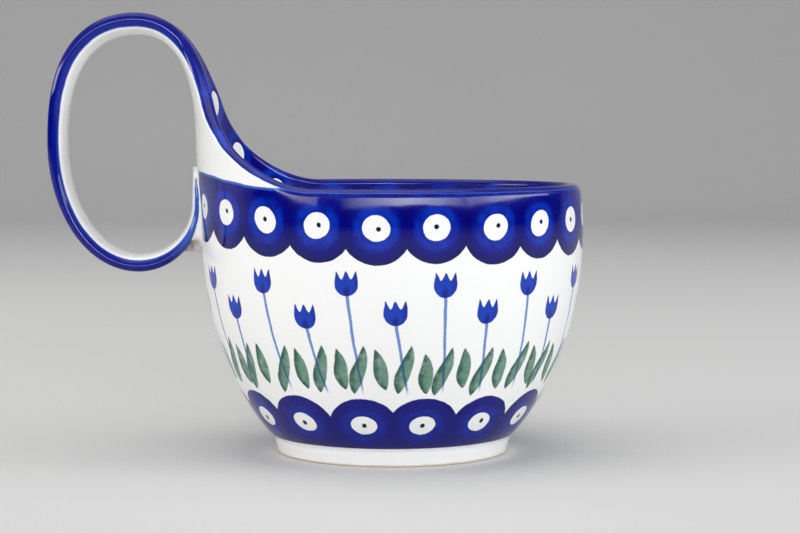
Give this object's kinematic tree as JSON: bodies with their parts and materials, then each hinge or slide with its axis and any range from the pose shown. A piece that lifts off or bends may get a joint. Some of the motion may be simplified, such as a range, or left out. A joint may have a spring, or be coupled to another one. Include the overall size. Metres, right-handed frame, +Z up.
{
  "type": "loop-handled soup mug",
  "caption": "Round stoneware cup on a foot ring, its rim swept up into a tall looped strap for one hand to hold hot soup.",
  "frame": {"origin": "middle of the overall length and width, on the ground", "axes": "+X from the handle towards the cup, along the overall length; +Z up along the cup's axis; +Y across, square to the plane of the loop"},
  "size_m": [0.1675, 0.12, 0.1377],
  "materials": {
    "white_glaze": "gloss glaze, white, with hand-stamped cobalt, blue and green decoration",
    "foot_glaze": "gloss glaze with a bare, wiped lower edge",
    "cobalt_glaze": "gloss glaze over brushed cobalt, white towards the opening",
    "slip_glaze": "gloss glaze over joining slip"
  },
  "bodies": {
    "root": {"bowl_body": "white_glaze", "foot_ring": "foot_glaze", "loop_strap": "cobalt_glaze", "tail_slip_fillet": "slip_glaze"}
  },
  "joints": []
}
